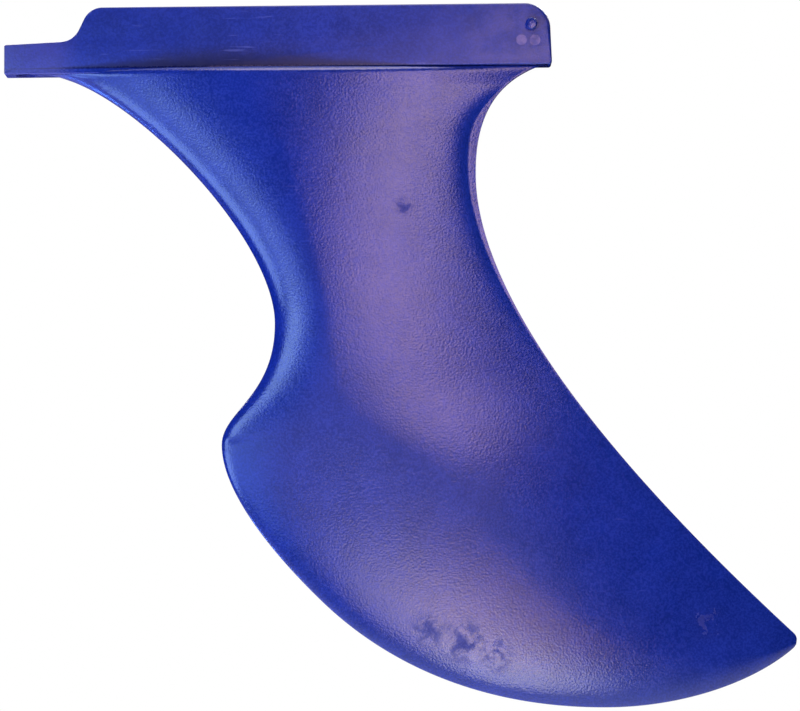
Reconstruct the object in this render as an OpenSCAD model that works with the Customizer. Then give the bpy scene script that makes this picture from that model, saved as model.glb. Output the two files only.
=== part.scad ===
// Moulded sailboard fin for a slotted fin box: a swept blade under a flat base tab.
// X points aft, Y across the board and Z up into the board. The board's bottom is z = 0,
// the fin's middle plane is y = 0, and the tongue's screw stands on the Z axis.

/* [Base tab] */
// From the screw to the base tab's rear end, at the board's bottom
base_reach = 212.2; // [202:0.2:240]
// Height of the base tab above the board's bottom
base_h = 24.9; // [22:0.1:28]
// Thickness of the base tab and the tongue
base_t = 9.3; // [8.6:0.1:10.5]
// Lean of the base tab's rear end from upright, in degrees
rear_lean = 1.7; // [0:0.1:5]
// Radius of the upper rear corner
rear_r = 10; // [7:0.2:12]
// Radius of the lower rear corner
heel_r = 1.2; // [0.4:0.1:2]
// Radius of the upper front corner
front_r = 8; // [4:0.2:10]
// From the screw to the middle of the front flank
flank_reach = 22.7; // [20:0.1:40]
// Lean of the front flank from upright, in degrees
flank_lean = 25.6; // [16:0.2:35]
// Radius of the hollow between the front flank and the tongue
step_r = 8.7; // [5:0.1:10]

/* [Screw tongue] */
// From the screw to the tongue's front end
tongue_reach = 8.2; // [6:0.1:12]
// Height of the tongue's top above the board's bottom, at the screw
tongue_h = 10.3; // [8:0.1:12]
// Slope of the tongue's top, in degrees
tongue_slope = 2.7; // [0:0.1:4]
// How far the tongue's underside lies below the board's bottom
tongue_drop = 2; // [0.8:0.1:3]
// Diameter of the screw hole
screw_d = 4.6; // [4.2:0.1:6]
// Diameter of the recess for the screw's head
head_d = 8; // [7:0.1:8.2]
// Depth of the recess for the screw's head
head_depth = 4; // [2:0.1:6]

/* [Cross pin] */
// From the base tab's rear end to the pin's axis
pin_inset = 8.2; // [6.5:0.1:20]
// Height of the pin's axis above the board's bottom
pin_h = 16; // [8:0.1:17]
// Diameter of the pin's ends
pin_d = 4.76; // [4:0.02:5.5]
// How far each end of the pin stands out of the base tab
pin_proud = 3.35; // [2:0.05:5]
// Chamfer on the pin's ends
pin_chamfer = 0.4; // [0.2:0.1:0.8]
// How much thicker the pin's shank is than its ends
shank_swell = 0.4; // [0.32:0.02:0.8]
// Clearance round the shank in its bore
shank_gap = 0.02; // [0.01:0.01:0.05]

/* [Blade outline] */
// From the screw to the place where the leading edge leaves the tongue
lead_reach = 7.2; // [5:0.1:10]
// From the screw to the foremost point of the neck's hollow
hollow_reach = 99.8; // [90:0.2:110]
// Depth of that point below the board
hollow_depth = 103.2; // [92:0.2:115]
// From the screw to the nose of the lobe
nose_reach = 78.3; // [66:0.1:88]
// Depth of the nose below the board
nose_depth = 152; // [142:0.5:165]
// From the screw to the middle of the belly
belly_reach = 118; // [108:0.5:128]
// Depth of that point below the board
belly_depth = 214.7; // [206:0.1:222]
// Fall of the lower edge at that point, in degrees
belly_fall = 44.3; // [38:0.1:50]
// From the screw to the lowest point
keel_reach = 231.2; // [212:0.2:245]
// Depth of the whole blade below the board
blade_depth = 257.5; // [248:0.1:280]
// From the screw to the aftmost point of the tip
tip_reach = 306.1; // [290:0.1:325]
// Depth of the tip's centre below the board
tip_depth = 231.8; // [224:0.1:240]
// Radius of the tip
tip_r = 4; // [3:0.1:7]
// Rise of the lower edge where it meets the tip, in degrees
tip_rise = 40.4; // [32:0.2:46]
// Fall of the trailing edge where it meets the tip, in degrees
tip_fall = 43.5; // [40:0.1:48]
// From the screw to the foremost point of the trailing edge
waist_reach = 181; // [165:0.2:190]
// Depth of that point below the board
waist_depth = 44.6; // [36:0.2:52]
// From the base tab's rear end to the top of the trailing edge
trail_inset = 5; // [2:0.1:12]
// Slope of the trailing edge at its top, in degrees
trail_slope = 20.3; // [10:0.1:36]

/* [Curve handles] */
// How far the leading edge runs on along the tongue before it turns down
sweep_start = 29.2; // [22:0.2:38]
// How far the leading edge keeps upright above the hollow
sweep_end = 36; // [28:0.2:44]
// How far it keeps upright below the hollow
hook_start = 29.6; // [22:0.2:34]
// How far it keeps upright above the nose
hook_end = 13.6; // [8:0.2:16]
// How far it keeps upright below the nose
nose_run = 19.6; // [14:0.2:26]
// How far it keeps straight on each side of the belly's middle
belly_run = 24.4; // [16:0.2:30]
// How far it keeps level ahead of the lowest point
keel_lead = 60.4; // [48:0.2:70]
// How far it keeps level behind the lowest point
keel_run = 30; // [20:0.5:36]
// How far it keeps straight ahead of the tip
tip_run = 20; // [14:0.2:28]
// How far the trailing edge keeps straight below the base tab
trail_run = 18.6; // [10:0.2:24]
// How far the trailing edge keeps upright above its foremost point
waist_above = 24.5; // [18:0.5:30]
// How far it keeps upright below that point
waist_below = 52.3; // [40:0.1:62]
// How far the trailing edge keeps straight above the tip
trail_end = 90; // [76:0.5:104]

/* [Foil] */
// Width of the seat on each side of the base tab, at its widest
seat_w = 4; // [3:0.1:6]
// From the screw to where the seat starts to fall away forwards
seat_reach = 60; // [30:1:90]
// How sharply it falls away, from 1 for a straight slope
seat_fall = 1.5; // [1:0.1:2.5]
// Radius of the seat's rim
rim_r = 1.6; // [0.8:0.1:2]
// Place of the greatest thickness below the base tab, as a share of the chord from the leading edge
crest_base = 0.38; // [0.32:0.01:0.46]
// Its place at the narrowest part
crest_waist = 0.22; // [0.16:0.01:0.3]
// Its place across the nose of the lobe
crest_lobe = 0.54; // [0.44:0.01:0.6]
// Its place near the tip
crest_tip = 0.42; // [0.3:0.01:0.5]
// Fullness of the leading edge, from 1 for a parabola to 2 for an ellipse
lead_power = 1.45; // [1.2:0.05:2.5]
// Fullness of the rear of the foil below the base tab, from 1 for a straight taper
trail_power = 1.4; // [1.2:0.05:2]
// How much fuller the rear of the foil gets towards the tip
trail_gain = 0.8; // [0:0.1:1]
// How the thickness falls off towards the tip
taper = 0.46; // [0.36:0.02:0.7]
// Thickness of the trailing edge below the base tab
edge_t = 2.4; // [1.6:0.1:3]
// Thickness of the trailing edge at the tip
edge_tip = 1.2; // [0.8:0.1:1.6]
// Width of the flat land along the trailing edge, at its widest
land_w = 3.9; // [2:0.1:5]
// Width of the land where it runs out
land_min = 0.6; // [0.4:0.1:1]

/* [Hidden] */
$fn = 64;
plastic = [0.16, 0.17, 0.58];

half_t = base_t / 2;
pin_r = pin_d / 2;
shank_r = pin_r + shank_swell / 2;
pin_x = base_reach - pin_inset;
pin_z = pin_h;
over = 1; // how far a cutter runs past the face it opens

// Corners of the base tab's side view, each as [x, z, radius].
corner_r = 0.6;
toe_r = 0.5;
slope = tan(tongue_slope);
lean = tan(flank_lean);
flank_mid = (tongue_h + base_h) / 2;
foot_x = (flank_reach - lean * (flank_mid - tongue_h)) / (1 - lean * slope);
brow_x = flank_reach + lean * (base_h - flank_mid);
rear_x = base_reach - base_h * tan(rear_lean);
tenon_lap = 15; // how far the tongue's underside runs on inside the blade past the level seat's start
tenon_x = max(brow_x, seat_reach) + tenon_lap;
base_corners = [
  [-tongue_reach, -tongue_drop, toe_r],
  [-tongue_reach, tongue_h - slope * tongue_reach, corner_r],
  [foot_x, tongue_h + slope * foot_x, step_r],
  [brow_x, base_h, front_r],
  [rear_x, base_h, rear_r],
  [base_reach, 0, heel_r],
  [tenon_x, 0, 0],
  [tenon_x, -tongue_drop, 0],
];

// The points of one rounded corner b between its neighbours a and c.
corner_steps = 10;
function unit(v) = v / norm(v);
function flat(p) = [p.x, p.y];
function corner(a, b, c) =
  let (
    u = unit(flat(a) - flat(b)),
    w = unit(flat(c) - flat(b)),
    half = acos(u * w) / 2,
    centre = flat(b) + unit(u + w) * b[2] / sin(half),
    side = sign(u.y * w.x - u.x * w.y),
    mid = atan2(-(u + w).y, -(u + w).x)
  )
  b[2] == 0 ? [flat(b)] : [
    for (i = [0:corner_steps])
      let (turn = mid + side * (90 - half) * (2 * i / corner_steps - 1))
        centre + b[2] * [cos(turn), sin(turn)]
  ];
function rounded(corners) =
  let (n = len(corners)) [
    for (i = [0:n - 1])
      each corner(corners[(i + n - 1) % n], corners[i], corners[(i + 1) % n])
  ];

// The blade's edges are Bezier curves that end in one arc round the tip.
curve_steps = 60;
function bezier(p, u) =
  pow(1 - u, 3) * p[0] + 3 * pow(1 - u, 2) * u * p[1]
  + 3 * (1 - u) * u * u * p[2] + pow(u, 3) * p[3];
function curve(p) = [for (i = [1:curve_steps]) bezier(p, i / curve_steps)];
function heading(a) = [cos(a), sin(a)];

lead_root = [lead_reach, -tongue_drop];
hollow = [hollow_reach, -hollow_depth];
nose = [nose_reach, -nose_depth];
belly = [belly_reach, -belly_depth];
belly_way = heading(-belly_fall);
keel = [keel_reach, -blade_depth];
tip = [tip_reach - tip_r, -tip_depth];
waist = [waist_reach, -waist_depth];
trail_root = [base_reach - trail_inset, 0];
down = [0, -1];
aft = [1, 0];
lower_a = tip_rise - 90; // where the lower edge meets the tip's arc
upper_a = 90 - tip_fall; // where the trailing edge meets it
end_a = (lower_a + upper_a) / 2;
lower_end = tip + tip_r * heading(lower_a);
upper_end = tip + tip_r * heading(upper_a);
function tip_arc(from) = [
  for (i = [1:corner_steps]) tip + tip_r * heading(from + (end_a - from) * i / corner_steps)
];

lead_edge = concat(
  [lead_root],
  curve([lead_root, lead_root + sweep_start * aft, hollow - sweep_end * down, hollow]),
  curve([hollow, hollow + hook_start * down, nose - hook_end * down, nose]),
  curve([nose, nose + nose_run * down, belly - belly_run * belly_way, belly]),
  curve([belly, belly + belly_run * belly_way, keel - keel_lead * aft, keel]),
  curve([keel, keel + keel_run * aft, lower_end - tip_run * heading(tip_rise), lower_end]),
  tip_arc(lower_a)
);
trail_edge = concat(
  [trail_root],
  curve([trail_root, trail_root - trail_run * heading(trail_slope), waist - waist_above * down, waist]),
  curve([waist, waist + waist_below * down, upper_end - trail_end * heading(-tip_fall), upper_end]),
  tip_arc(upper_a)
);

// A point at a share of the way along an edge, by its length.
function lengths(p) = [
  for (i = 0, d = 0; i < len(p); d = d + (i + 1 < len(p) ? norm(p[i + 1] - p[i]) : 0), i = i + 1) d
];
function keyed(p) =
  let (d = lengths(p)) [
    for (axis = [0, 1]) [for (i = [0:len(p) - 1]) [d[i] / d[len(p) - 1], p[i][axis]]]
  ];
lead_keys = keyed(lead_edge);
trail_keys = keyed(trail_edge);
function along(keys, share) = [lookup(share, keys[0]), lookup(share, keys[1])];

// Chords fan out from the root to the tip, each at a share t of both edges.
fan = 0.11; // how far the chords' rear ends run ahead, which keeps the neck's chords level
rim_rows = 7;
rim_share = 0.008;
span_rows = 84;
tip_share = 0.994;
bow_share = 0.02; // the chords bow up to the seat above this share
crowd = 1.7; // how closely the rows crowd to the rim, and the columns to the leading edge
rows = concat(
  [for (i = [0:rim_rows - 1]) rim_share * pow(i / rim_rows, crowd)],
  [for (i = [0:span_rows]) rim_share + (tip_share - rim_share) * i / span_rows]
);
function lead_at(t) = along(lead_keys, t);
function trail_at(t) = along(trail_keys, t + fan * sin(180 * t));

// The seat's height at x: level at the board, and falling away forwards to the tongue's underside.
function seat_z(x) =
  x < seat_reach ? -tongue_drop * pow((seat_reach - x) / (seat_reach - lead_reach), seat_fall) : 0;

// Half the thickness at a share s of a chord, which is where the foil's shape comes from.
land_start = 0.03; // the land starts to widen at this share of the span
land_peak = 0.085; // is widest at this one
land_span = 0.38; // and has run out at this one
land_fade = 1.6; // how it narrows on the way
land_limit = 0.3; // the land takes at most this share of a chord
edge_limit = 0.6; // and is at most this share of the foil's thickness
function chord_half(t) = (half_t + seat_w) * pow(1 - t, taper);

// The ridge's place at a share t of the span, eased between its named places.
crest_at_t = [0.1, 0.3, 0.5, 0.9];
crest_places = [crest_base, crest_waist, crest_lobe, crest_tip];
function eased(u) = (1 - cos(180 * min(max(u, 0), 1))) / 2;
function crest_at(t, i = 3) =
  i == 0 ? crest_places[0]
  : crest_at(t, i - 1) + (crest_places[i] - crest_places[i - 1])
    * eased((t - crest_at_t[i - 1]) / (crest_at_t[i] - crest_at_t[i - 1]));
function land_swell(t) =
  t < land_start || t > land_span ? 0
  : t < land_peak ? pow(sin(90 * (t - land_start) / (land_peak - land_start)), 2)
  : pow((land_span - t) / (land_span - land_peak), land_fade);
function land_at(t) = land_min + (land_w - land_min) * land_swell(t);
function rim_cut(depth) =
  depth < rim_r ? rim_r - sqrt(rim_r * rim_r - pow(rim_r - depth, 2)) : 0;
function foil_half(s, crest, s_land, high, edge, power) =
  s <= crest ? high * sqrt(1 - pow(1 - s / crest, lead_power))
  : s < s_land ? edge + (high - edge) * (1 - pow((s - crest) / (s_land - crest), power))
  : edge;

lead_cols = 9;
trail_cols = 8;
function columns(crest, s_land) = concat(
  [for (i = [0:lead_cols]) crest * pow(i / lead_cols, crowd)],
  [for (i = [1:trail_cols]) crest + (s_land - crest) * i / trail_cols],
  [1]
);

// One chord's ring of points: the leading edge, the near side, then the far side back.
function ring(t) =
  let (
    a = lead_at(t),
    b = trail_at(t),
    chord = norm(b - a),
    s_land = 1 - min(land_at(t) / chord, land_limit),
    high = chord_half(t),
    crest = crest_at(t),
    power = trail_power + trail_gain * t,
    edge = min((edge_t + (edge_tip - edge_t) * t) / 2, high * edge_limit),
    root_share = max(0, 1 - t / bow_share),
    side = [
      for (s = columns(crest, s_land))
        let (
          p = a + (b - a) * s,
          bow = seat_z(p.x) + tongue_drop * (1 - s),
          z = p.y + bow * root_share,
          y = foil_half(s, crest, s_land, high, edge, power) * (1 - rim_cut(seat_z(p.x) - z) / high)
        )
          [p.x, y, z]
    ],
    n = len(side)
  )
  concat(
    [for (i = [0:n - 1]) [side[i].x, -side[i].y, side[i].z]],
    [for (i = [n - 1:-1:1]) side[i]]
  );
ring_n = 2 * (lead_cols + trail_cols + 2) - 1;

module blade() {
  top = len(rows) - 1;
  side_n = (ring_n + 1) / 2;
  function at(row, col) = row * ring_n + col % ring_n;
  function cap(row, flip) = [
    for (i = [1:side_n - 1])
      let (a = at(row, i - 1), b = at(row, i), c = at(row, ring_n - i), d = at(row, ring_n - i + 1))
        each (i == 1 ? [flip ? [a, b, c] : [a, c, b]]
              : flip ? [[a, b, c], [a, c, d]] : [[a, c, b], [a, d, c]])
  ];
  skin = [
    for (row = [0:top - 1])
      for (col = [0:ring_n - 1])
        let (a = at(row, col), b = at(row, col + 1), c = at(row + 1, col + 1), d = at(row + 1, col))
          each (col < side_n ? [[a, b, c], [a, c, d]] : [[a, b, d], [b, c, d]])
  ];
  polyhedron(
    points = [for (t = rows) each ring(t)],
    faces = concat(cap(0, false), skin, cap(top, true))
  );
}

module base_tab() {
  rotate([90, 0, 0])
    linear_extrude(base_t, center = true)
      polygon(rounded(base_corners));
}

module screw_hole() {
  translate([0, 0, -tongue_drop - over])
    cylinder(d = screw_d, h = tongue_drop + base_h + 2 * over);
  translate([0, 0, -tongue_drop - over])
    cylinder(d = head_d, h = head_depth + over);
}

module pin_bore() {
  translate([pin_x, 0, pin_z])
    rotate([90, 0, 0])
      cylinder(r = shank_r + shank_gap, h = base_t + 2 * over, center = true);
}

module fin_moulding() {
  color(plastic)
    difference() {
      union() {
        base_tab();
        blade();
      }
      screw_hole();
      pin_bore();
    }
}

module cross_pin() {
  tip_y = half_t + pin_proud;
  half_profile = [
    [0, 0],
    [shank_r, 0],
    [shank_r, half_t],
    [pin_r, half_t],
    [pin_r, tip_y - pin_chamfer],
    [pin_r - pin_chamfer, tip_y],
    [0, tip_y],
  ];
  color(plastic)
    translate([pin_x, 0, pin_z])
      rotate([90, 0, 0])
        for (side = [0, 1])
          mirror([0, 0, side])
            rotate_extrude()
              polygon(half_profile);
}

fin_moulding();
cross_pin();
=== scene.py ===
"""Dresses a moulded sailboard fin: blade and tab as one fine mesh, the cross pin, plastic and studio."""

import math

import bmesh
import bpy
import numpy as np
from mathutils import Matrix, Vector


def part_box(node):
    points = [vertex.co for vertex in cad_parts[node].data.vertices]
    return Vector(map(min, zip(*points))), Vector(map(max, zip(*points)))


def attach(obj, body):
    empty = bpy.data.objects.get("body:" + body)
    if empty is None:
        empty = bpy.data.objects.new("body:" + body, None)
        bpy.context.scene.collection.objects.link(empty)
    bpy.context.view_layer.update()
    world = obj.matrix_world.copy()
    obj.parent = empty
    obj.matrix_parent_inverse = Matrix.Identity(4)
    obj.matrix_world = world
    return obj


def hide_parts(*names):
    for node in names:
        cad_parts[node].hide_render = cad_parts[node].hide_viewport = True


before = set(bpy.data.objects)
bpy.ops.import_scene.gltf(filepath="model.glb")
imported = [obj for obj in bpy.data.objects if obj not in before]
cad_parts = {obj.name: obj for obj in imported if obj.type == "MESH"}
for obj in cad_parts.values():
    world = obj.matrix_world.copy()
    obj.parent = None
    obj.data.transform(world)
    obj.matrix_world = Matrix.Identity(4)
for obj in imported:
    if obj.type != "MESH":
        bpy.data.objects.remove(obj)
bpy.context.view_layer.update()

MM = 0.001
fin_low, fin_high = (np.array(c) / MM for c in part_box("fin_moulding"))
pin_low, pin_high = (np.array(c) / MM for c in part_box("cross_pin"))

# ---------------------------------------------------------------- sizes, in millimetres
# the base tab, its tongue and the pin
TONGUE_REACH = -fin_low[0]
BASE_H = fin_high[2]
BLADE_DEPTH = -fin_low[2]
PIN_X, PIN_Z = (pin_low[0] + pin_high[0]) / 2, (pin_low[2] + pin_high[2]) / 2
PIN_TIP = pin_high[1]
PIN_INSET = 8.2
BASE_REACH = PIN_X + PIN_INSET
HALF_T = 4.65
REAR_LEAN = 1.7
REAR_R = 10.0
HEEL_R = 1.2
FRONT_R = 8.0
FLANK_REACH = 22.7
FLANK_LEAN = 25.6
STEP_R = 8.7
TONGUE_H = 10.3
TONGUE_SLOPE = 2.7
TONGUE_DROP = 2.0
SCREW_D = 4.6
HEAD_D = 8.0
HEAD_DEPTH = 4.0
PIN_R = 2.38
SHANK_R = 2.58
BORE_R = 2.6
DISC_R, DISC_DEPTH = 2.35, 0.12
DISCS = ((200.0, 9.9), (205.4, 9.7))

# the blade's outline: places on it, and the reach of the curves between them
LEAD_REACH = 7.2
HOLLOW = (99.8, -103.2)
NOSE = (78.3, -152.0)
BELLY = (118.0, -214.7)
BELLY_FALL = 44.3
KEEL_REACH = 231.2
TIP_REACH = 306.0
TIP_DEPTH = 231.8
TIP_R = 4.0
TIP_RISE = 40.4
TIP_FALL = 43.5
WAIST = (181.0, -44.6)
TRAIL_INSET = 5.0
TRAIL_SLOPE = 20.3
SWEEP_START, SWEEP_END = 29.2, 36.0
HOOK_START, HOOK_END = 29.6, 13.6
NOSE_RUN, BELLY_RUN, KEEL_LEAD = 19.6, 24.4, 60.4
KEEL_RUN, TIP_RUN = 30.0, 20.0
TRAIL_RUN, WAIST_ABOVE = 18.6, 24.5
WAIST_BELOW, TRAIL_END = 52.3, 90.0

# the seat beside the tab
SEAT_W = 3.95
SEAT_REACH = 60.0
SEAT_FALL = 1.5
TENON_LAP = 15.0

# the blade's sections
RIM_R = 3.0
EDGE_R, REAR_EDGE_R = 0.55, 1.5
CREST_AT = (0.1, 0.3, 0.5, 0.9)
CREST = (0.38, 0.22, 0.54, 0.42)
LEAD_POWER = 1.45
TRAIL_POWER, TRAIL_GAIN = 1.4, 0.8
TAPER = 0.46
EDGE_T, EDGE_TIP = 2.4, 1.2
LAND_W, LAND_MIN = 3.9, 0.6
LAND_START, LAND_PEAK, LAND_SPAN = 0.04, 0.1, 0.38
LAND_FADE = 1.6
SHOULDER, SHOULDER_W = 0.9, 3.6
FAN = 0.11
ROLL, ROLL_W, ROLL_START = 1.1, 5.0, 0.22
BOW_SHARE = 0.02

# the view, and the floor below it
VIEW_TARGET = Vector((149.8, 0, -116.8))
VIEW_DISTANCE = 1200.0
VIEW_HALF_WIDTH = 160.0
VIEW_PITCH = 5.25
VIEW_ROLL = -0.593
FLOOR_Z = -BLADE_DEPTH - 260


# ---------------------------------------------------------------- curves
def heading(a):
    return np.array([math.cos(math.radians(a)), math.sin(math.radians(a))])


def bezier(p, n=400):
    u = np.linspace(0, 1, n + 1)[1:, None]
    a, b, c, d = (np.array(q, float) for q in p)
    return (1 - u) ** 3 * a + 3 * (1 - u) ** 2 * u * b + 3 * (1 - u) * u * u * c + u ** 3 * d


def arc(centre, r, start, end, n=60):
    a = np.radians(np.linspace(start, end, n + 1)[1:])
    return np.array(centre) + r * np.stack([np.cos(a), np.sin(a)], 1)


def blade_edges():
    """The leading and trailing edges, from the root to the middle of the tip's arc."""
    down, aft = np.array([0, -1.0]), np.array([1.0, 0])
    hollow, nose, waist = np.array(HOLLOW), np.array(NOSE), np.array(WAIST)
    keel = np.array([KEEL_REACH, -BLADE_DEPTH])
    tip = np.array([TIP_REACH - TIP_R, -TIP_DEPTH])
    lower_a, upper_a = TIP_RISE - 90, 90 - TIP_FALL
    end_a = (lower_a + upper_a) / 2
    lower_end, upper_end = tip + TIP_R * heading(lower_a), tip + TIP_R * heading(upper_a)
    belly, belly_way = np.array(BELLY), heading(-BELLY_FALL)
    root = np.array([LEAD_REACH, -TONGUE_DROP])
    trail_root = np.array([BASE_REACH - TRAIL_INSET, 0.0])
    lead = np.concatenate([
        [root],
        bezier([root, root + SWEEP_START * aft, hollow - SWEEP_END * down, hollow]),
        bezier([hollow, hollow + HOOK_START * down, nose - HOOK_END * down, nose]),
        bezier([nose, nose + NOSE_RUN * down, belly - BELLY_RUN * belly_way, belly]),
        bezier([belly, belly + BELLY_RUN * belly_way, keel - KEEL_LEAD * aft, keel]),
        bezier([keel, keel + KEEL_RUN * aft, lower_end - TIP_RUN * heading(TIP_RISE), lower_end]),
        arc(tip, TIP_R, lower_a, end_a),
    ])
    trail = np.concatenate([
        [trail_root],
        bezier([trail_root, trail_root - TRAIL_RUN * heading(TRAIL_SLOPE),
                waist - WAIST_ABOVE * down, waist]),
        bezier([waist, waist + WAIST_BELOW * down, upper_end - TRAIL_END * heading(-TIP_FALL), upper_end]),
        arc(tip, TIP_R, upper_a, end_a),
    ])
    return lead, trail


def along(path, share):
    """Points at shares of a path's length."""
    step = np.linalg.norm(np.diff(path, axis=0), axis=1)
    d = np.concatenate([[0], np.cumsum(step)])
    d /= d[-1]
    return np.stack([np.interp(share, d, path[:, k]) for k in (0, 1)], 1)


# ---------------------------------------------------------------- meshes
def new_object(name, verts, faces):
    """A mesh object from points in millimetres."""
    mesh = bpy.data.meshes.new(name)
    mesh.from_pydata([tuple(float(c) * MM for c in v) for v in verts], [], faces)
    mesh.update()
    obj = bpy.data.objects.new(name, mesh)
    bpy.context.scene.collection.objects.link(obj)
    return obj


def seat_z(x):
    """The seat's height: level at the board, and falling away forwards to the tongue's underside."""
    share = np.clip((SEAT_REACH - x) / (SEAT_REACH - LEAD_REACH), 0, 1)
    return -TONGUE_DROP * share ** SEAT_FALL


def rim_cut(depth):
    """How far the seat's rounded rim draws the skin in at a depth below the seat."""
    d = np.clip(RIM_R - depth, 0, RIM_R)
    return RIM_R - np.sqrt(RIM_R ** 2 - d ** 2)


def crest_at(t):
    """The ridge's share of the chord, eased between its named places down the span."""
    out = CREST[0]
    for i in range(1, len(CREST)):
        u = np.clip((t - CREST_AT[i - 1]) / (CREST_AT[i] - CREST_AT[i - 1]), 0, 1)
        out = out + (CREST[i] - CREST[i - 1]) * (1 - np.cos(np.pi * u)) / 2
    return out


def land_swell(t):
    """How fully the flat land has grown along the trailing edge, from 0 to 1."""
    rise = np.sin(math.pi / 2 * np.clip((t - LAND_START) / (LAND_PEAK - LAND_START), 0, 1)) ** 2
    fall = np.clip((LAND_SPAN - t) / (LAND_SPAN - LAND_PEAK), 0, 1) ** LAND_FADE
    return np.where(t < LAND_PEAK, rise, fall)


def blade_mesh(lead_cols=40, trail_cols=44, land_cols=3, rim_rows=18, span_rows=330):
    """The foil as rings of points, one ring for each chord from the root to the tip."""
    rim_share, tip_share = 0.014, 0.9965
    t = np.concatenate([
        rim_share * (np.arange(rim_rows) / rim_rows) ** 1.7,
        np.linspace(rim_share, tip_share, span_rows),
    ])
    lead, trail = blade_edges()
    a = along(lead, t)
    b = along(trail, t + FAN * np.sin(np.pi * t))
    chord = np.linalg.norm(b - a, axis=1)
    s_land = 1 - np.minimum((LAND_MIN + (LAND_W - LAND_MIN) * land_swell(t)) / chord, 0.3)
    high = (HALF_T + SEAT_W) * (1 - t) ** TAPER
    edge = np.minimum((EDGE_T + (EDGE_TIP - EDGE_T) * t) / 2, high * 0.6)
    crests, powers = crest_at(t), TRAIL_POWER + TRAIL_GAIN * t
    shoulder = SHOULDER * np.sqrt(land_swell(t))
    front = (np.arange(lead_cols + 1) / lead_cols) ** 1.8
    rear = 1 - (1 - np.arange(1, trail_cols + 1) / trail_cols) ** 1.3
    flat = np.arange(1, land_cols + 1) / land_cols
    nose = t[np.argmin(np.where(t > CREST_AT[1], a[:, 0], BASE_REACH))]
    hook = np.clip((t - ROLL_START) / (nose - ROLL_START), 0, 1) ** 0.7 * (t < nose)
    rings = []
    for i in range(len(t)):
        crest = crests[i]
        s = np.concatenate([
            crest * front,
            crest + (s_land[i] - crest) * rear,
            s_land[i] + (1 - s_land[i]) * flat,
        ])
        k = np.clip((s - crest) / (s_land[i] - crest), 0, 1)
        fall = 1 - k ** powers[i]
        to_land = np.clip(s_land[i] - s, 0, 1) * chord[i]
        bulge = shoulder[i] * k ** 2 * (1 - np.exp(-to_land / SHOULDER_W))
        y = np.where(
            s <= crest,
            high[i] * np.sqrt(np.clip(1 - np.clip(1 - s / crest, 0, 1) ** LEAD_POWER, 0, 1)),
            edge[i] + (high[i] - edge[i]) * fall + bulge,
        )
        p = a[i] + (b[i] - a[i]) * s[:, None]
        p[:, 1] += (seat_z(p[:, 0]) + TONGUE_DROP * (1 - s)) * max(0, 1 - t[i] / BOW_SHARE)
        y = y * (1 - rim_cut(seat_z(p[:, 0]) - p[:, 1]) / high[i])
        d = s * chord[i] / ROLL_W
        y = y + hook[i] * ROLL * np.sqrt(d) * np.exp(-d)
        near = np.stack([p[:, 0], -y, p[:, 1]], 1)
        far = np.stack([p[:, 0], y, p[:, 1]], 1)[:0:-1]
        rings.append(np.concatenate([near, far]))
    n = len(rings[0])
    side = (n + 1) // 2
    verts = np.concatenate(rings)
    faces = []
    for r in range(len(rings) - 1):
        for c in range(n):
            d = (c + 1) % n
            faces.append((r * n + c, (r + 1) * n + c, (r + 1) * n + d, r * n + d))
    for r, flip in ((0, False), (len(rings) - 1, True)):
        for c in range(1, side):
            quad = [r * n + c - 1, r * n + c, r * n + (n - c), r * n + (n - c + 1) % n]
            quad = quad[:3] if c == 1 else quad
            faces.append(tuple(quad[::-1] if flip else quad))
    return new_object("blade", verts, faces)


def rounded_corner(a, b, c, r, n=14):
    """The arc of radius r that rounds corner b between a and c."""
    if r == 0:
        return [b]
    u, w = (a - b) / np.linalg.norm(a - b), (c - b) / np.linalg.norm(c - b)
    half = math.acos(float(u @ w)) / 2
    centre = b + (u + w) / np.linalg.norm(u + w) * r / math.sin(half)
    side = math.copysign(1, u[1] * w[0] - u[0] * w[1])
    mid = math.atan2(-(u + w)[1], -(u + w)[0])
    spread = side * (math.pi / 2 - half)
    return [centre + r * np.array([math.cos(mid + k * spread), math.sin(mid + k * spread)])
            for k in np.linspace(-1, 1, n + 1)]


def tab_outline():
    """The base tab and tongue from the side, as points in order."""
    slope, lean = math.tan(math.radians(TONGUE_SLOPE)), math.tan(math.radians(FLANK_LEAN))
    flank_mid = (TONGUE_H + BASE_H) / 2
    foot_x = (FLANK_REACH - lean * (flank_mid - TONGUE_H)) / (1 - lean * slope)
    brow_x = FLANK_REACH + lean * (BASE_H - flank_mid)
    corners = [
        (-TONGUE_REACH, -TONGUE_DROP, 0.5),
        (-TONGUE_REACH, TONGUE_H - slope * TONGUE_REACH, 0.6),
        (foot_x, TONGUE_H + slope * foot_x, STEP_R),
        (brow_x, BASE_H, FRONT_R),
        (BASE_REACH - BASE_H * math.tan(math.radians(REAR_LEAN)), BASE_H, REAR_R),
        (BASE_REACH, 0, HEEL_R),
        (SEAT_REACH + TENON_LAP, 0, 0),
        (SEAT_REACH + TENON_LAP, -TONGUE_DROP, 0),
    ]
    points = [np.array(c[:2], float) for c in corners]
    n = len(points)
    out = []
    for i in range(n):
        out += rounded_corner(points[i - 1], points[i], points[(i + 1) % n], corners[i][2])
    return np.array(out)


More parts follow.
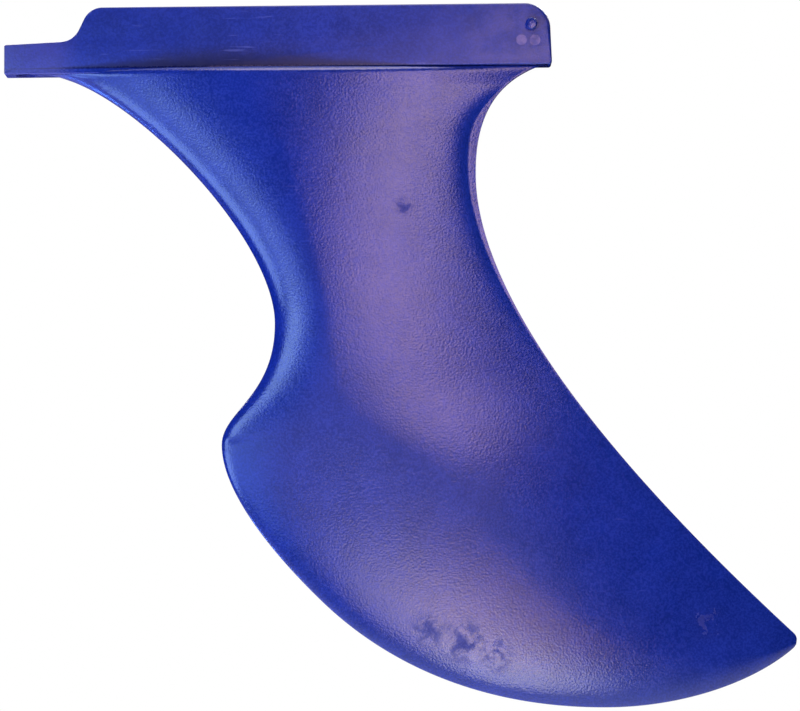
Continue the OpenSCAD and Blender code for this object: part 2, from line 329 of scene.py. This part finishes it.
def tab_mesh(steps=6):
    """The tab as its outline swept across, with its edges rounded, most of all up the rear end."""
    outline = tab_outline()
    x, z = outline.T
    rear = np.clip((x - BASE_REACH + 16) / 12, 0, 1) * np.clip((z - HEEL_R) / 6, 0, 1)
    edge_r = EDGE_R + (REAR_EDGE_R - EDGE_R) * rear ** 2
    before, after = np.roll(outline, 1, 0), np.roll(outline, -1, 0)
    u = outline - before
    w = after - outline
    u /= np.linalg.norm(u, axis=1)[:, None]
    w /= np.linalg.norm(w, axis=1)[:, None]
    normal = np.stack([-(u + w)[:, 1], (u + w)[:, 0]], 1)
    normal /= np.linalg.norm(normal, axis=1)[:, None]
    cosine = np.clip((normal * np.stack([-u[:, 1], u[:, 0]], 1)).sum(1), 0.5, 1)
    angles = np.linspace(0, math.pi / 2, steps + 1)
    layers = [(-1, x) for x in angles[::-1]] + [(1, x) for x in angles]
    n = len(outline)
    verts, faces = [], []
    for side, x in layers:
        ring = outline - normal * (edge_r * (1 - math.cos(x)) / cosine)[:, None]
        verts += [(p[0], side * y, p[1]) for p, y in zip(ring, HALF_T - edge_r * (1 - math.sin(x)))]
    for r in range(len(layers) - 1):
        for c in range(n):
            d = (c + 1) % n
            faces.append((r * n + c, r * n + d, (r + 1) * n + d, (r + 1) * n + c))
    faces.append(tuple(range(n))[::-1])
    faces.append(tuple((len(layers) - 1) * n + c for c in range(n)))
    return new_object("tab", verts, faces)


def cylinder(name, r, low, high, place, segments=96):
    """A closed cylinder along Z from low to high, moved by the matrix place."""
    ring = [(r * math.cos(a), r * math.sin(a)) for a in np.linspace(0, 2 * math.pi, segments + 1)[:-1]]
    verts = [(x, y, z) for z in (low, high) for x, y in ring]
    faces = [(c, (c + 1) % segments, segments + (c + 1) % segments, segments + c) for c in range(segments)]
    faces += [tuple(range(segments))[::-1], tuple(range(segments, 2 * segments))]
    obj = new_object(name, verts, faces)
    obj.data.transform(place)
    return obj


def combine(obj, tool, operation):
    """Applies a boolean and deletes the tool."""
    mod = obj.modifiers.new("cut", "BOOLEAN")
    mod.operation, mod.object, mod.solver = operation, tool, "EXACT"
    bpy.context.view_layer.update()
    mesh = bpy.data.meshes.new_from_object(obj.evaluated_get(bpy.context.evaluated_depsgraph_get()))
    obj.modifiers.clear()
    obj.data = mesh
    bpy.data.objects.remove(tool)


def fix_normals(obj):
    bm = bmesh.new()
    bm.from_mesh(obj.data)
    bmesh.ops.recalc_face_normals(bm, faces=bm.faces)
    bm.to_mesh(obj.data)
    bm.free()


def shade(obj, angle=32):
    bpy.ops.object.select_all(action="DESELECT")
    obj.select_set(True)
    bpy.context.view_layer.objects.active = obj
    bpy.ops.object.shade_smooth_by_angle(angle=math.radians(angle))


ACROSS = Matrix.Rotation(math.radians(90), 4, "X")


def at(x, y, z):
    return Matrix.Translation(Vector((x, y, z)) * MM)


def fin():
    body, tab = blade_mesh(), tab_mesh()
    fix_normals(body)
    fix_normals(tab)
    combine(body, tab, "UNION")
    over = 1.0
    screw = cylinder("screw", SCREW_D / 2, -TONGUE_DROP - over, BASE_H, Matrix())
    head = cylinder("head", HEAD_D / 2, -TONGUE_DROP - over, HEAD_DEPTH - TONGUE_DROP, Matrix())
    pin = cylinder("pin", BORE_R, -HALF_T - over, HALF_T + over, at(PIN_X, 0, PIN_Z) @ ACROSS)
    discs = []
    for x, z in DISCS:
        for side in (-1, 1):
            outward = Matrix.Rotation(-side * math.radians(90), 4, "X")
            discs.append(cylinder("disc", DISC_R, -DISC_DEPTH, over, at(x, side * HALF_T, z) @ outward))
    for tool in (screw, head, pin, *discs):
        combine(body, tool, "DIFFERENCE")
    body.name = "fin_body"
    shade(body)
    return body


def cross_pin():
    """The dowel, turned: chamfered ends and a slightly thicker shank."""
    chamfer = 0.4
    half = [
        (0, PIN_TIP),
        (PIN_R - chamfer - 0.2, PIN_TIP),
        (PIN_R - chamfer + 0.02, PIN_TIP - 0.05),
        (PIN_R - 0.05, PIN_TIP - chamfer),
        (PIN_R, PIN_TIP - chamfer - 0.15),
        (PIN_R, HALF_T),
        (SHANK_R, HALF_T),
    ]
    profile = half + [(r, -y) for r, y in half[::-1]]
    segments = 96
    verts = [(0, 0, PIN_TIP)]
    for r, z in profile[1:-1]:
        turn = np.linspace(0, 2 * math.pi, segments + 1)[:-1]
        verts += [(r * math.cos(a), r * math.sin(a), z) for a in turn]
    verts.append((0, 0, -PIN_TIP))
    rings = len(profile) - 2
    faces = [(0, 1 + c, 1 + (c + 1) % segments) for c in range(segments)]
    for r in range(rings - 1):
        for c in range(segments):
            d = (c + 1) % segments
            faces.append((1 + r * segments + c, 1 + (r + 1) * segments + c, 1 + (r + 1) * segments + d,
                          1 + r * segments + d))
    last = 1 + (rings - 1) * segments
    faces += [(last + c, len(verts) - 1, last + (c + 1) % segments) for c in range(segments)]
    obj = new_object("pin_dowel", verts, faces)
    obj.data.transform(at(PIN_X, 0, PIN_Z) @ ACROSS)
    fix_normals(obj)
    shade(obj)
    return obj


# ---------------------------------------------------------------- materials
class Finish:
    """A material's node tree, built one node at a time."""

    def __init__(self, name):
        self.mat = bpy.data.materials.new(name)
        self.mat.use_nodes = True
        self.surface = self.mat.node_tree.nodes["Principled BSDF"]
        self.place = self.add("TexCoord").outputs["Object"]
        self.x, self.y, self.z = self.add("SeparateXYZ", Vector=self.place).outputs

    def feed(self, socket, value):
        if isinstance(value, bpy.types.NodeSocket):
            self.mat.node_tree.links.new(value, socket)
        else:
            socket.default_value = value

    def add(self, kind, setup=None, **inputs):
        node = self.mat.node_tree.nodes.new("ShaderNode" + kind)
        for key, value in (setup or {}).items():
            setattr(node, key, value)
        for key, value in inputs.items():
            self.feed(node.inputs[key.replace("_", " ")], value)
        return node

    def math(self, operation, *values):
        node = self.add("Math", {"operation": operation})
        for socket, value in zip(node.inputs, values):
            self.feed(socket, value)
        return node.outputs[0]

    def noise(self, scale, detail=2.0, roughness=0.5, stretch=(1, 1, 1), distortion=0.0):
        place = self.add("Mapping", Vector=self.place, Scale=stretch).outputs["Vector"]
        return self.add("TexNoise", Vector=place, Scale=scale, Detail=detail, Roughness=roughness,
                        Distortion=distortion).outputs["Fac"]

    def ramp(self, value, low, high, to_low=0.0, to_high=1.0):
        """Value's range from low to high, eased and mapped to another."""
        node = self.add("MapRange", {"interpolation_type": "SMOOTHSTEP"}, Value=value)
        for socket, number in zip(list(node.inputs)[1:5], (low, high, to_low, to_high)):
            self.feed(socket, number)
        return node.outputs["Result"]

    def mix(self, factor, a, b):
        node = self.add("Mix", {"data_type": "RGBA"})
        self.feed(node.inputs["Factor"], factor)
        for socket, value in zip((node.inputs[6], node.inputs[7]), (a, b)):
            self.feed(socket, value)
        return node.outputs[2]

    def spot(self, x, z, reach, edge):
        """1 round a place on either face, easing to 0 over edge at reach; all in millimetres."""
        flat = self.add("CombineXYZ", X=self.x, Y=0.0, Z=self.z).outputs[0]
        gap = self.add("VectorMath", {"operation": "DISTANCE"})
        self.feed(gap.inputs[0], flat)
        self.feed(gap.inputs[1], (x * MM, 0, z * MM))
        return self.ramp(gap.outputs["Value"], reach * MM, (reach - edge) * MM)

    def most(self, masks):
        """The largest of several masks."""
        out = masks[0]
        for mask in masks[1:]:
            out = self.math("MAXIMUM", out, mask)
        return out


DEEP = (0.0035, 0.015, 0.15, 1)
BRIGHT = (0.0095, 0.028, 0.25, 1)
# painted shade for the corner above the seat
PAINTED_SHADE = (0.002, 0.004, 0.045, 1)
SCUFF = (0.004, 0.012, 0.16, 1)
# a pale lilac painted reflection
PAINTED_SHEEN = (0.3, 0.22, 0.42, 1)
HAIRLINE = (0.12, 0.14, 0.42, 1)
# where the blade is rubbed dark: x, z and reach in millimetres
RUBS = ((160, -226, 10), (174, -231, 13), (186, -236, 10), (152, -57, 5), (271, -224, 8))


def plastic(name, wear_and_painted_light):
    """Ultramarine plastic from a spark-eroded mould; on the fin it gets its wear, a painted shade above
    the seat and a painted lilac reflection on the tongue and tab.
    """
    f = Finish(name)
    tone = f.ramp(f.noise(70, 6, 0.65), 0.3, 0.7)
    fleck = f.ramp(f.noise(1200, 1), 0.36, 0.66)
    tone = f.math("ADD", f.math("MULTIPLY", tone, 0.45), f.math("MULTIPLY", fleck, 0.55))
    colour = f.mix(tone, DEEP, BRIGHT)
    rough = f.ramp(f.noise(120, 5, 0.65), 0.3, 0.7, 0.16, 0.19)
    rough = f.math("ADD", rough, f.math("MULTIPLY", fleck, 0.05))
    if wear_and_painted_light:
        # dark rubs on the lobe, and one on the neck just below the tab
        rubs = f.most([f.spot(*rub, rub[2]) for rub in RUBS])
        blotch = f.ramp(f.noise(170, 5, 0.65, (1, 1, 1), 0.6), 0.43, 0.64)
        rub = f.math("MULTIPLY", rubs, blotch)
        colour = f.mix(f.math("MULTIPLY", rub, 0.7), colour, SCUFF)
        rough = f.math("ADD", rough, f.math("MULTIPLY", rub, 0.35))
        # painted shade on the tab in the corner above the seat, where the blade's proud shoulder shades
        # it, highest a third of the way aft
        bell = f.math("DIVIDE", f.math("SUBTRACT", f.x, 82 * MM), 44 * MM)
        bell = f.math("EXPONENT", f.math("MULTIPLY", f.math("MULTIPLY", bell, bell), -1.0))
        shade_strip = f.math("SUBTRACT", f.ramp(f.x, 24 * MM, 45 * MM), f.ramp(f.x, 130 * MM, 160 * MM))
        height = f.math("ADD", f.math("MULTIPLY", bell, 8.5 * MM), f.math("MULTIPLY", shade_strip, 1.2 * MM))
        share = f.math("DIVIDE", f.z, height)
        share = f.math("ADD", share, f.math("MULTIPLY", f.math("SUBTRACT", f.noise(90, 5, 0.6), 0.5), 0.5))
        seat_shade = f.math("MULTIPLY", f.ramp(share, 1.15, 0.1), f.ramp(f.z, -0.3 * MM, 0.1 * MM))
        colour = f.mix(f.math("MULTIPLY", seat_shade, 0.9), colour, PAINTED_SHADE)
        # the tab and tongue are duller, and a pale lilac painted reflection lies on the tongue,
        # at the tab's rear and on the marks of the ejector pins
        tongue = f.ramp(f.x, 24 * MM, 10 * MM)
        dull = f.math("MAXIMUM", f.ramp(f.z, 0, 1 * MM), tongue)
        rough = f.math("ADD", rough, f.math("MULTIPLY", dull, 0.14))
        patch = f.ramp(f.noise(110, 5, 0.65), 0.36, 0.62)
        aft = f.math("MULTIPLY", f.ramp(f.x, 150 * MM, 196 * MM), f.ramp(f.z, 0.5 * MM, 3 * MM))
        painted_sheen = f.math("MULTIPLY", aft, patch)
        marks = f.most([f.spot(x, z, DISC_R, 0.3) for x, z in DISCS])
        painted_sheen = f.math("MULTIPLY", f.math("MAXIMUM", painted_sheen, tongue), 0.1)
        uneven = f.ramp(f.noise(260, 4), 0.35, 0.7, 0.15, 0.5)
        painted_sheen = f.math("MAXIMUM", painted_sheen, f.math("MULTIPLY", marks, uneven))
        colour = f.mix(painted_sheen, colour, PAINTED_SHEEN)
        # pale hairline scratches, mostly along the tab
        hair = f.ramp(f.noise(1.0, 3, 0.5, (60, 300, 1100), 0.4), 0.64, 0.7)
        hair = f.math("MULTIPLY", hair, f.ramp(f.noise(35, 2), 0.5, 0.62))
        hair = f.math("MULTIPLY", hair, f.ramp(f.z, -8 * MM, 2 * MM, 0.08, 0.3))
        colour = f.mix(hair, colour, HAIRLINE)
    bump = f.add("Bump", Strength=1.0, Distance=0.00004, Height=f.noise(1350, 0))
    f.feed(f.surface.inputs["Base Color"], colour)
    f.feed(f.surface.inputs["Roughness"], rough)
    f.feed(f.surface.inputs["Normal"], bump.outputs["Normal"])
    f.surface.inputs["IOR"].default_value = 1.5
    return f.mat


# ---------------------------------------------------------------- studio
def area_light(name, azimuth, elevation, distance, size, watts):
    """A round lamp, placed from the fin's middle: azimuth 0 is the port side, 90 is aft."""
    middle = VIEW_TARGET * MM
    a, e = math.radians(azimuth), math.radians(elevation)
    out = Vector((math.sin(a) * math.cos(e), -math.cos(a) * math.cos(e), math.sin(e)))
    lamp = bpy.data.lights.new(name, "AREA")
    lamp.shape, lamp.size, lamp.energy = "DISK", size, max(watts)
    lamp.color = [w / lamp.energy for w in watts]
    obj = bpy.data.objects.new(name, lamp)
    obj.location = middle + out * distance
    obj.rotation_euler = out.to_track_quat("Z", "Y").to_euler()
    obj.visible_camera = False
    bpy.context.scene.collection.objects.link(obj)
    return obj


def floor():
    """A pale round floor that fades out into the white room."""
    rings, segments, radius = 24, 96, 1300.0
    verts = [(VIEW_TARGET.x, 0, FLOOR_Z)]
    for r in range(1, rings + 1):
        for a in np.linspace(0, 2 * math.pi, segments + 1)[:-1]:
            out = radius * r / rings
            verts.append((VIEW_TARGET.x + out * math.cos(a), out * math.sin(a), FLOOR_Z))
    faces = [(0, 1 + c, 1 + (c + 1) % segments) for c in range(segments)]
    for r in range(rings - 1):
        for c in range(segments):
            d = (c + 1) % segments
            faces.append((1 + r * segments + c, 1 + (r + 1) * segments + c, 1 + (r + 1) * segments + d,
                          1 + r * segments + d))
    obj = new_object("floor", verts, faces)
    mat = bpy.data.materials.new("pale_floor")
    mat.use_nodes = True
    nodes, links = mat.node_tree.nodes, mat.node_tree.links
    shader = nodes["Principled BSDF"]
    shader.inputs["Roughness"].default_value = 0.8
    shader.inputs["Emission Color"].default_value = (1, 1, 1, 1)
    shader.inputs["Emission Strength"].default_value = 0.5
    place = nodes.new("ShaderNodeNewGeometry")
    grain = nodes.new("ShaderNodeTexNoise")
    grain.inputs["Scale"].default_value = 60
    links.new(place.outputs["Position"], grain.inputs["Vector"])
    tint = nodes.new("ShaderNodeValToRGB")
    tint.color_ramp.elements[0].color = (0.78, 0.78, 0.78, 1)
    tint.color_ramp.elements[1].color = (0.86, 0.86, 0.86, 1)
    links.new(grain.outputs["Fac"], tint.inputs["Fac"])
    links.new(tint.outputs["Color"], shader.inputs["Base Color"])
    shift = nodes.new("ShaderNodeVectorMath")
    shift.operation = "DISTANCE"
    shift.inputs[1].default_value = (VIEW_TARGET.x * MM, 0, FLOOR_Z * MM)
    links.new(place.outputs["Position"], shift.inputs[0])
    fade = nodes.new("ShaderNodeMapRange")
    fade.interpolation_type = "SMOOTHSTEP"
    fade.inputs["From Min"].default_value = 0.35
    fade.inputs["From Max"].default_value = 1.25
    fade.inputs["To Min"].default_value = 1
    fade.inputs["To Max"].default_value = 0
    links.new(shift.outputs["Value"], fade.inputs["Value"])
    links.new(fade.outputs["Result"], shader.inputs["Alpha"])
    obj.data.materials.append(mat)
    return obj


def studio():
    """White all round to look at, and lit by soft lamps alone."""
    world = bpy.data.worlds.new("white_room")
    bpy.context.scene.world = world
    world.use_nodes = True
    world.node_tree.nodes["Background"].inputs["Color"].default_value = (1, 1, 1, 1)
    world.node_tree.nodes["Background"].inputs["Strength"].default_value = 1.0
    seen = world.cycles_visibility
    seen.diffuse = seen.glossy = seen.transmission = seen.scatter = False
    # name, azimuth, elevation, distance, diameter (m), watts of red, green and blue
    for lamp in (
        ("high", 13, 23, 0.5, 0.12, (0.19, 0.13, 0.14)),
        ("upper", 11, 15, 0.5, 0.12, (0.12, 0.08, 0.1)),
        ("middle", 6, 8, 0.5, 0.12, (0.2, 0.13, 0.18)),
        ("haze", -3, -8, 0.5, 0.3, (0.15, 0.13, 0.13)),
        ("warm", 4, -20, 0.5, 0.14, (0.16, 0.08, 0)),
        ("soft", -5, -20, 0.5, 0.14, (0.2, 0.16, 0.2)),
        ("low", 4, -30, 0.5, 0.14, (0.33, 0.31, 0.36)),
        ("sky", -36, 11, 0.6, 0.2, (0.34, 0.52, 0.92)),
        ("ahead", -28, -5, 0.75, 0.3, (0.22, 0.33, 0.78)),
        ("left", -50, -10, 0.55, 0.2, (0.33, 0.52, 1.05)),
        ("deep", -82, -45, 0.8, 0.4, (4, 12, 52)),
        ("under", -30, -58, 0.7, 0.3, (0.2, 2.0, 5.0)),
        ("rim", 0, 62, 0.6, 0.3, (1.5, 1.3, 1.4)),
        ("above", 0, 90, 1.6, 1.2, (8, 8, 9)),
        ("behind_left", 145, 42, 1.6, 0.8, (18, 18, 20)),
        ("behind_right", 215, 42, 1.6, 0.8, (18, 18, 20)),
    ):
        area_light(*lamp)
    floor()


def camera():
    """Looks square at the port face, from a little below it, and turned by a trace of roll."""
    pitch, roll = math.radians(VIEW_PITCH), math.radians(VIEW_ROLL)
    cam = bpy.data.cameras.new("camera")
    cam.sensor_fit = "HORIZONTAL"
    cam.angle = 2 * math.atan(VIEW_HALF_WIDTH / VIEW_DISTANCE)
    obj = bpy.data.objects.new("camera", cam)
    turn = Matrix.Rotation(math.radians(90) + pitch, 4, "X") @ Matrix.Rotation(roll, 4, "Z")
    back = Matrix.Translation((0, 0, VIEW_DISTANCE * MM))
    obj.matrix_world = Matrix.Translation(VIEW_TARGET * MM) @ turn @ back
    bpy.context.scene.collection.objects.link(obj)
    bpy.context.scene.camera = obj


def main():
    for piece, node, slot, wear_and_painted_light in ((fin(), "fin_moulding", "fin_plastic", True),
                                    (cross_pin(), "cross_pin", "pin_plastic", False)):
        piece.data.materials.clear()
        piece.data.materials.append(plastic(slot.replace("plastic", "finish"), wear_and_painted_light))
        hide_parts(node)
        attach(piece, "root")
    studio()
    camera()
    bpy.context.scene.view_settings.view_transform = "Standard"


main()
